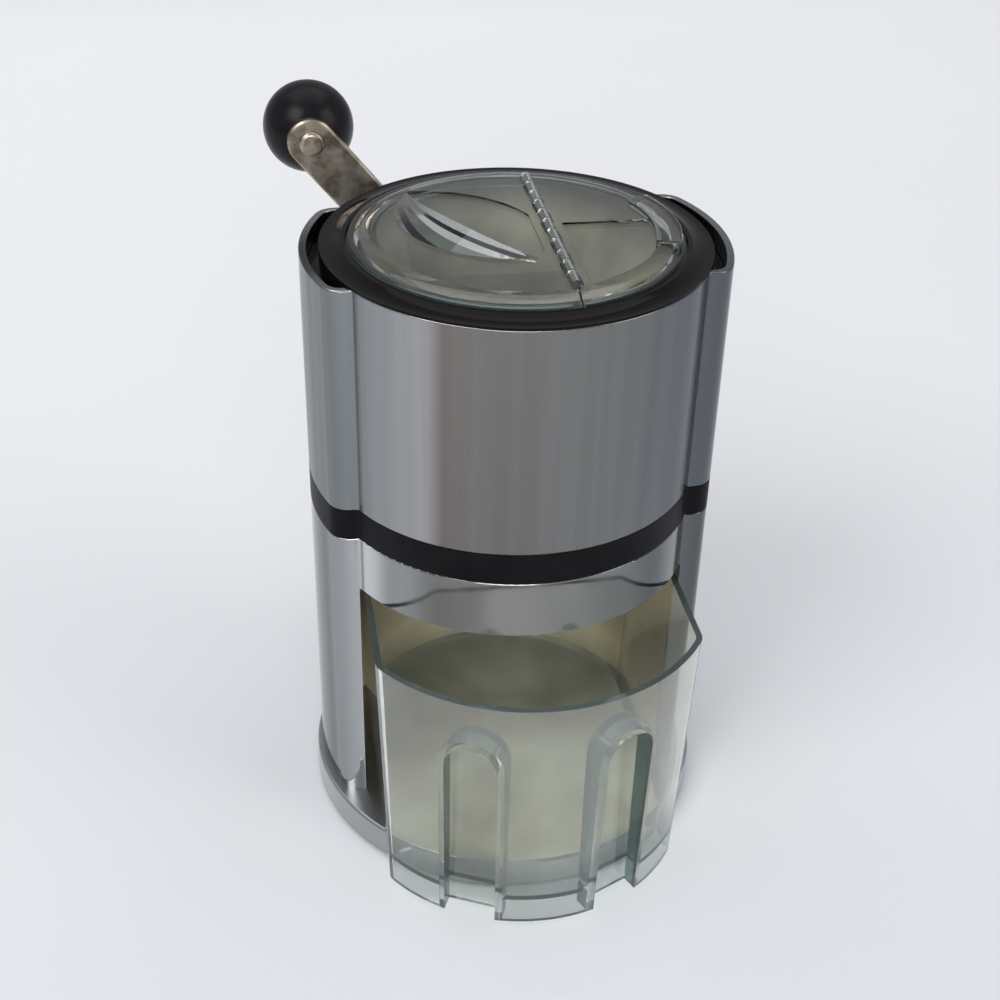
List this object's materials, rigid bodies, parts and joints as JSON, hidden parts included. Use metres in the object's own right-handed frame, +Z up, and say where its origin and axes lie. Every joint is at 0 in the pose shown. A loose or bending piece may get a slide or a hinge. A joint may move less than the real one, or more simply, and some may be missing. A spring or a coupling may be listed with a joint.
{
  "type": "ice shaver with crank",
  "caption": "Hand cranked ice crusher with a plated drum on a round base, black bands, a clear hinged lid, a clear ice cup in front and a crank with a ball knob behind.",
  "frame": {"origin": "centre of the rubber rest pad's underside, on the drum's axis", "axes": "+Z up along the drum, -Y towards the cup's front, the crank behind on +Y"},
  "size_m": [0.1409, 0.1973, 0.2255],
  "materials": {
    "plating": "polished",
    "black_plastic": "satin",
    "black_gloss": "gloss",
    "clear": "gloss",
    "hopper": "satin",
    "liner": "satin",
    "bushes": "satin",
    "blades": "brushed",
    "crank": "worn",
    "screws": "satin",
    "rubber": "matt",
    "knob": "satin"
  },
  "bodies": {
    "housing": {"rest_pad": "rubber", "base_plate": "black_plastic", "base_plinth": "plating", "base_screws": "screws", "lower_housing": "plating", "housing_screws": "screws", "bay_liner": "liner", "mid_frame": "black_plastic", "upper_shell": "plating", "frame_screws": "screws", "crush_chamber": "liner", "fixed_comb_left": "blades", "fixed_comb_right": "blades", "front_bush": "bushes", "rear_bush": "bushes", "rear_boss": "black_plastic", "crank_bearing": "bushes", "hopper": "hopper", "top_ring": "black_gloss"},
    "crank": {"rotor_shaft": "blades", "blade_1": "blades", "blade_2": "blades", "blade_3": "blades", "blade_4": "blades", "blade_5": "blades", "blade_spacers": "bushes", "crank_arm": "crank", "thrust_washer": "screws", "crank_washer": "screws", "cap_nut": "screws", "knob_spindle": "crank"},
    "knob": {"ball_knob": "knob"},
    "cup": {"ice_cup": "clear"},
    "lid": {"lid_cover": "clear", "flap_pin": "screws"},
    "flap": {"lid_flap": "clear"}
  },
  "joints": [
    {"name": "crank_spin", "type": "hinge", "parent": "housing", "child": "crank", "pos_m": [0, 0.0735, 0.14], "axis": [0, 1, 0], "continuous": true},
    {"name": "knob_spin", "type": "hinge", "parent": "crank", "child": "knob", "pos_m": [-0.0574, 0.0896, 0.21], "axis": [0, 1, 0], "continuous": true},
    {"name": "cup_slide", "type": "slide", "parent": "housing", "child": "cup", "axis": [0, -1, 0], "range_m": [0, 0.13]},
    {"name": "lid_lift", "type": "slide", "parent": "housing", "child": "lid", "axis": [0, 0, 1], "range_m": [0, 0.06]},
    {"name": "flap_hinge", "type": "hinge", "parent": "lid", "child": "flap", "pos_m": [0.01, 0, 0.2074], "axis": [0, -1, 0], "range_deg": [0, 110]}
  ]
}
